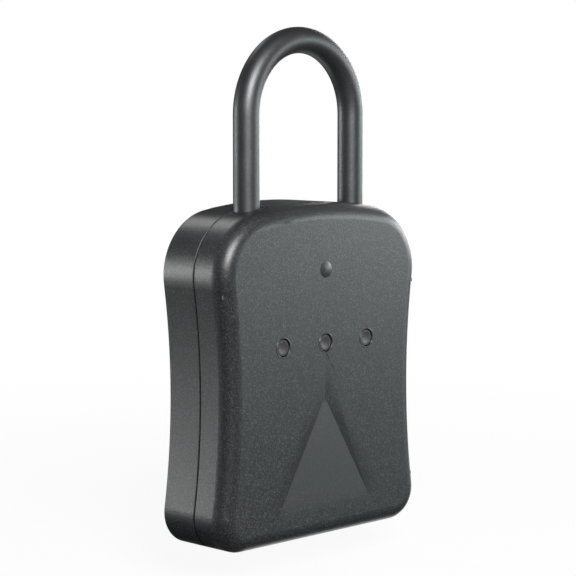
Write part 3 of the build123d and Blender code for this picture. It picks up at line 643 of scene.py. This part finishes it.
# %% Latch metal
material, tree, shader, place = finish("latch_metal", Metallic=0.7)
peel = use_group(tree, soft_mottle, Vector=place, Scale=900.0)["Value"]
stain = use_group(tree, soft_mottle, Vector=place, Scale=80.0)["Value"]
worn = use_group(tree, rubbed_edge, Vector=place, Width=0.0004)["Mask"]
colour = blend_colours(tree, stain, (0.15, 0.15, 0.16, 1), (0.19, 0.19, 0.20, 1))
put(tree, blend_colours(tree, worn, colour, grey(0.48)), shader["Base Color"])
put(tree, ramp(tree, peel, 0.0, 1.0, 0.34, 0.48), shader["Roughness"])
relief(tree, shader, peel, 0.00001)
FINISHES["latch_metal"] = material
print("finishes", len(FINISHES))

# %% [markdown]
# The circuit board is green laminate. Its weave shows faintly, and copper tracks run under the
# green varnish. Two brick patterns of different size, laid over each other on the board's plan,
# give tracks that run straight and turn square.

# %% Board laminate
TRACK_PATTERNS = ((90.0, 0.7), (140.0, 1.3))
material, tree, shader, place = finish("board_laminate", Specular_IOR_Level=0.5)
part = add_node(tree, "ShaderNodeSeparateXYZ", {0: place}).outputs
plan = add_node(tree, "ShaderNodeCombineXYZ", {"X": part["X"], "Y": part["Z"]}).outputs[0]
tracks = [add_node(tree, "ShaderNodeTexBrick", {
    "Vector": plan, "Scale": scale, "Mortar Size": 0.03, "Mortar Smooth": 0.2,
    "Brick Width": width, "Row Height": 0.25}).outputs["Fac"] for scale, width in TRACK_PATTERNS]
track = maths(tree, "MAXIMUM", tracks[0], tracks[1])
weave = use_group(tree, worked_lines, Vector=place, Stretch=(0.2, 1.0, 1.0), Scale=2500.0)["Tone"]
colour = blend_colours(tree, maths(tree, "MULTIPLY", weave, 0.25), (0.016, 0.115, 0.050, 1),
                       (0.028, 0.150, 0.070, 1))
put(tree, blend_colours(tree, maths(tree, "MULTIPLY", track, 0.7), colour,
                        (0.060, 0.260, 0.110, 1)), shader["Base Color"])
put(tree, ramp(tree, track, 0.0, 1.0, 0.36, 0.26), shader["Roughness"])
relief(tree, shader, track, 0.00002)
FINISHES["board_laminate"] = material
print("finishes", len(FINISHES))

# %% [markdown]
# Each cell wears a plain shrink jacket, slate with a pale band at its positive end, and shows bare
# nickel at both ends. The cells lie head to tail, so the middle one is turned: its band is on the
# other side, which the height of the cell decides.

# %% Cell jacket
CELL_END = 21.2 * MM
BAND_START = 14.5 * MM
MIDDLE_CELL = (24.4 * MM, 35.4 * MM)
material, tree, shader, place = finish("cell_jacket", Specular_IOR_Level=0.5, Coat_Weight=0.4,
                                       Coat_Roughness=0.12)
part = add_node(tree, "ShaderNodeSeparateXYZ", {0: place}).outputs
turned = maths(tree, "MULTIPLY", maths(tree, "GREATER_THAN", part["Z"], MIDDLE_CELL[0]),
               maths(tree, "LESS_THAN", part["Z"], MIDDLE_CELL[1]))
along = maths(tree, "MULTIPLY", part["X"], maths(tree, "MULTIPLY_ADD", turned, 2.0, -1.0))
band = ramp(tree, along, BAND_START, BAND_START + 0.2 * MM)
bare = ramp(tree, maths(tree, "ABSOLUTE", part["X"]), CELL_END, CELL_END + 0.2 * MM)
scuff = use_group(tree, soft_mottle, Vector=place, Scale=400.0)["Value"]
colour = blend_colours(tree, maths(tree, "MULTIPLY", scuff, 0.3), (0.055, 0.070, 0.085, 1),
                       (0.085, 0.100, 0.115, 1))
colour = blend_colours(tree, band, colour, (0.52, 0.54, 0.52, 1))
put(tree, blend_colours(tree, bare, colour, (0.66, 0.65, 0.61, 1)), shader["Base Color"])
put(tree, bare, shader["Metallic"])
put(tree, ramp(tree, scuff, 0.0, 1.0, 0.26, 0.36), shader["Roughness"])
relief(tree, shader, scuff, 0.000006)
FINISHES["cell_jacket"] = material
print("finishes", len(FINISHES))

# %% [markdown]
# The record says which finish each piece has, so dressing the frame is one loop over it.

# %% Dress the frame
SLOT_OF = {row["node"]: row["material_slot"] for row in frame["record"]["subparts"]}
for name, node in frame["nodes"].items():
    node.data.materials.clear()
    node.data.materials.append(FINISHES[SLOT_OF[name]])
print("dressed", len(SLOT_OF), "nodes in", len(FINISHES), "finishes")

# %% [markdown]
# The frame's screws are plain discs on pins. A real one is turned and thread-rolled: a pan head
# with a rolled edge, a cross recess that narrows downwards, a threaded shank and a cut end. One
# screw of each size is modelled at the origin, head up, and copied to its places. First come two
# helpers: one leaves only a new piece selected, and one selects faces or edges by a test.

# %% Helpers for modelling
def alone(piece):
    bpy.ops.object.select_all(action="DESELECT")
    piece.select_set(True)
    bpy.context.view_layer.objects.active = piece


def pick(piece, kind, test):
    """Selects what passes the test, in edit mode. An edge passes when both its ends do."""
    mesh = bmesh.from_edit_mesh(piece.data)
    for part in list(mesh.verts) + list(mesh.edges) + list(mesh.faces):
        part.select = False
    bpy.ops.mesh.select_mode(type=kind)
    for part in mesh.faces if kind == "FACE" else mesh.edges:
        part.select = all(test(vertex.co) for vertex in part.verts)
    mesh.select_flush_mode()
    bmesh.update_edit_mesh(piece.data)


print("modelling helpers ready")

# %% [markdown]
# The head starts as a cylinder. Its upper rim is bevelled round, and its lower one only broken.
# The recess is cut last, with two crossed wedges as the cutter, because a clean boolean needs both
# shapes closed and finished. A wedge's length and width are shares of the head's radius, its reach
# and the bevels are shares of the head's height, and its taper says how much of it is left below.

# %% Screw head
HEAD_SIDES = 40
RECESS_SIZE, RECESS_TAPER, RECESS_REACH = (1.16, 0.26), (0.55, 0.75), 1.3
TOP_ROUNDING, SEAT_BREAK = 0.45, 0.08


def cross_cutter(head_radius, head_height):
    """Two crossed wedges that narrow downwards."""
    arms = []
    for size, taper in ((RECESS_SIZE, RECESS_TAPER), (RECESS_SIZE[::-1], RECESS_TAPER[::-1])):
        bpy.ops.object.select_all(action="DESELECT")
        bpy.ops.mesh.primitive_cube_add(size=1.0, location=(0, 0, head_height))
        arm = bpy.context.object
        arm.scale = (size[0] * head_radius, size[1] * head_radius, RECESS_REACH * head_height)
        bpy.ops.object.transform_apply(location=True, rotation=False, scale=True)
        bpy.ops.object.mode_set(mode="EDIT")
        pick(arm, "FACE", lambda co: co.z < head_height)
        bpy.ops.transform.resize(value=(*taper, 1.0))
        bpy.ops.object.mode_set(mode="OBJECT")
        arms.append(arm)
    alone(arms[0])
    arms[1].select_set(True)
    bpy.ops.object.join()
    return arms[0]


def screw_head(head_radius, head_height):
    bpy.ops.object.select_all(action="DESELECT")
    bpy.ops.mesh.primitive_cylinder_add(vertices=HEAD_SIDES, radius=head_radius,
                                        depth=head_height, location=(0, 0, head_height / 2))
    head = bpy.context.object
    bpy.ops.object.transform_apply(location=True, rotation=False, scale=False)
    bpy.ops.object.mode_set(mode="EDIT")
    top = head_height * 0.999
    pick(head, "EDGE", lambda co: co.z > top)
    bpy.ops.mesh.bevel(offset=TOP_ROUNDING * head_height, segments=5, profile=0.55,
                       affect="EDGES")
    pick(head, "EDGE", lambda co: co.z < 1e-7)
    bpy.ops.mesh.bevel(offset=SEAT_BREAK * head_height, segments=2, affect="EDGES")
    bpy.ops.object.mode_set(mode="OBJECT")
    cutter = cross_cutter(head_radius, head_height)
    alone(head)
    cut = head.modifiers.new("recess", "BOOLEAN")
    cut.object = cutter
    cut.solver = "EXACT"
    cut.use_self = True
    bpy.ops.object.modifier_apply(modifier=cut.name)
    bpy.data.objects.remove(cutter)
    return head


print("head has", HEAD_SIDES, "sides")

# %% [markdown]
# The shank is a cylinder whose lower rim is bevelled. It is as thick as the thread's root, and its
# upper end sinks a little into the head. The thread is a ridge that climbs round it. A small
# triangle is set beside the axis and swept by the Screw modifier, one turn per pitch, and its two
# open ends are filled. The sizes are shares of the shank's radius, and where the thread starts and
# how much of the shank stays bare are given in turns.

# %% Screw thread and shank
PITCH, ROOT, RIDGE_SEAT, RIDGE_SIZE, TIP_CHAMFER = 0.55, 0.8, 0.83, 0.17, 0.35
SUNK_SHARE = 0.05
START_TURNS, BARE_TURNS = 0.9, 1.5
SHANK_SIDES, THREAD_STEPS = 24, 20


def bare_shank(radius, length):
    bpy.ops.object.select_all(action="DESELECT")
    bpy.ops.mesh.primitive_cylinder_add(vertices=SHANK_SIDES, radius=ROOT * radius, depth=length,
                                        location=(0, 0, -length / 2 + SUNK_SHARE * length))
    shank = bpy.context.object
    bpy.ops.object.transform_apply(location=True, rotation=False, scale=False)
    bpy.ops.object.mode_set(mode="EDIT")
    low = min(vertex.co.z for vertex in bmesh.from_edit_mesh(shank.data).verts) + 1e-6
    pick(shank, "EDGE", lambda co: co.z < low)
    bpy.ops.mesh.bevel(offset=TIP_CHAMFER * radius, segments=2, affect="EDGES")
    bpy.ops.object.mode_set(mode="OBJECT")
    return shank


def thread(radius, length):
    pitch = PITCH * radius
    seat = (RIDGE_SEAT * radius, 0, -length + START_TURNS * pitch)
    bpy.ops.object.select_all(action="DESELECT")
    bpy.ops.mesh.primitive_circle_add(vertices=3, radius=RIDGE_SIZE * radius, fill_type="NOTHING",
                                      location=seat, rotation=(math.radians(90), 0, 0))
    ridge = bpy.context.object
    bpy.ops.object.transform_apply(location=True, rotation=True, scale=False)
    bpy.ops.object.mode_set(mode="EDIT")
    bpy.ops.mesh.select_all(action="SELECT")
    bpy.ops.transform.rotate(value=math.radians(90), orient_axis="Y", center_override=seat)
    bpy.ops.object.mode_set(mode="OBJECT")
    sweep = ridge.modifiers.new("thread", "SCREW")
    sweep.axis = "Z"
    sweep.screw_offset = pitch
    sweep.iterations = int((length - BARE_TURNS * pitch) / pitch)
    sweep.steps = THREAD_STEPS
    sweep.render_steps = THREAD_STEPS
    bpy.ops.object.modifier_apply(modifier=sweep.name)
    bpy.ops.object.mode_set(mode="EDIT")
    bpy.ops.mesh.select_all(action="SELECT")
    bpy.ops.mesh.remove_doubles(threshold=1e-7)
    bpy.ops.mesh.fill_holes(sides=3)
    bpy.ops.mesh.select_all(action="SELECT")
    bpy.ops.mesh.normals_make_consistent(inside=False)
    bpy.ops.object.mode_set(mode="OBJECT")
    return ridge


print("thread pitch", PITCH, "of the shank's radius")

# %% [markdown]
# The head, the shank and the thread are each closed, so they can simply be joined into one mesh,
# which spares a slow boolean at the ridge. Edges sharper than 35 degrees stay crisp.

# %% Whole screw
def make_screw(name, head_radius, head_height, shank_radius, length):
    """A pan head screw, with its head's seat at the origin and its shank along -Z."""
    head = screw_head(head_radius, head_height)
    shank = bare_shank(shank_radius, length)
    ridge = thread(shank_radius, length)
    alone(head)
    shank.select_set(True)
    ridge.select_set(True)
    bpy.ops.object.join()
    bpy.ops.object.shade_smooth_by_angle(angle=math.radians(35))
    head.name = name
    head.data.name = name
    return head


print("screws are built by make_screw")

# %% [markdown]
# Each kind of screw is placed where the frame holds it. A row gives its body, then the radius and
# height of its head and the radius and length of its shank in mm, then its turn and its places. The
# turn lays the head towards the side that the screwdriver comes from. Every screw stops at its own
# angle, given in degrees, as real ones do.

# %% Screws in place
TO_FRONT = Matrix.Rotation(math.radians(90), 4, "X")
TO_BACK = Matrix.Rotation(math.radians(-90), 4, "X")
TO_FOOT = Matrix.Rotation(math.radians(180), 4, "X")
SCREWS = {
    "latch_screws": ("case", (2.1, 1.1, 1.0, 6.5), TO_FRONT,
                     [(-12.6, 3.6, 99.6), (12.6, 3.6, 99.6)]),
    "keeper_screws": ("case", (2.1, 1.1, 1.0, 5.5), TO_FOOT,
                      [(-4.6, 5.0, 113.3), (4.6, 5.0, 113.3)]),
    "hook_screws": ("case", (2.1, 1.1, 1.0, 3.2), TO_FRONT,
                    [(-9.0, 11.425, 91.5), (9.0, 11.425, 91.5)]),
    "board_screws": ("cover", (1.8, 0.9, 0.8, 3.8), TO_BACK,
                     [(-25.0, -8.3, 89.0), (25.0, -8.3, 89.0)]),
    "plate_screws": ("cover", (2.1, 0.85, 1.0, 7.0), TO_BACK,
                     [(-44.0, -2.6, 17.0), (44.0, -2.6, 17.0),
                      (-43.8, -2.6, 91.0), (43.8, -2.6, 91.0)]),
}
STOPS = (12, 55, 31, 78, 8, 64, 40, 22, 70, 49, 85, 18)

placed = 0
for node, (body, sizes, lay, seats) in SCREWS.items():
    pattern = make_screw("pattern", *(size * MM for size in sizes))
    for number, seat in enumerate(seats, 1):
        stop = Matrix.Rotation(math.radians(STOPS[placed]), 4, "Z")
        one = bpy.data.objects.new(f"{node[:-1]}_{number}", pattern.data.copy())
        one.data.transform(Matrix.Translation(Vector(seat) * MM) @ lay @ stop)
        one.data.materials.append(FINISHES["screw_steel"])
        scene.collection.objects.link(one)
        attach(one, body)
        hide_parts(node)
        placed += 1
    bpy.data.objects.remove(pattern)
print("screws placed", placed)

# %% [markdown]
# Each button stands in a hole whose edge is rolled to a fine lip, and the lip's lower left catches
# the light as a bright arc. A torus would be quicker to add, but its section would be round, so a
# small section is drawn beside the hole's axis, pressed a little flat, and spun once round it.
# Where the turn closes, the doubled points are merged.

# %% Button lips
FACE = -16.175 * MM
BUTTON_HEIGHT = 71.4 * MM
BUTTON_PITCH = 21.6 * MM
LIP_RADIUS = 3.5 * MM
LIP_WIDTH = 0.25 * MM
LIP_SINK = 0.09 * MM
LIP_POINTS, LIP_STEPS = 14, 72
LIP_FLATTENING = 0.95


def make_lip(name, centre):
    bpy.ops.object.select_all(action="DESELECT")
    section = Vector((centre.x + LIP_RADIUS, centre.y + LIP_SINK, centre.z))
    bpy.ops.mesh.primitive_circle_add(vertices=LIP_POINTS, radius=LIP_WIDTH, fill_type="NOTHING",
                                      location=section)
    lip = bpy.context.object
    bpy.ops.object.transform_apply(location=True, rotation=False, scale=False)
    bpy.ops.object.mode_set(mode="EDIT")
    bpy.ops.mesh.select_all(action="SELECT")
    bpy.ops.transform.resize(value=(1.0, LIP_FLATTENING, 1.0), center_override=section)
    bpy.ops.mesh.spin(steps=LIP_STEPS, angle=2 * math.pi, center=centre, axis=(0, 1, 0))
    bpy.ops.mesh.select_all(action="SELECT")
    bpy.ops.mesh.remove_doubles(threshold=1e-7)
    bpy.ops.mesh.normals_make_consistent(inside=False)
    bpy.ops.object.mode_set(mode="OBJECT")
    bpy.ops.object.shade_smooth()
    lip.name = name
    return lip


first_lip = make_lip("button_lip_centre", Vector((0, FACE, BUTTON_HEIGHT)))
lips = [first_lip]
for side, name in ((-1, "button_lip_left"), (1, "button_lip_right")):
    lip = bpy.data.objects.new(name, first_lip.data.copy())
    lip.data.transform(Matrix.Translation((side * BUTTON_PITCH, 0, 0)))
    scene.collection.objects.link(lip)
    lips.append(lip)
for lip in lips:
    lip.data.materials.append(FINISHES["case_moulding"])
    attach(lip, "cover")
print("lips", [len(lip.data.polygons) for lip in lips])

# %% Finish
print("scene is built")
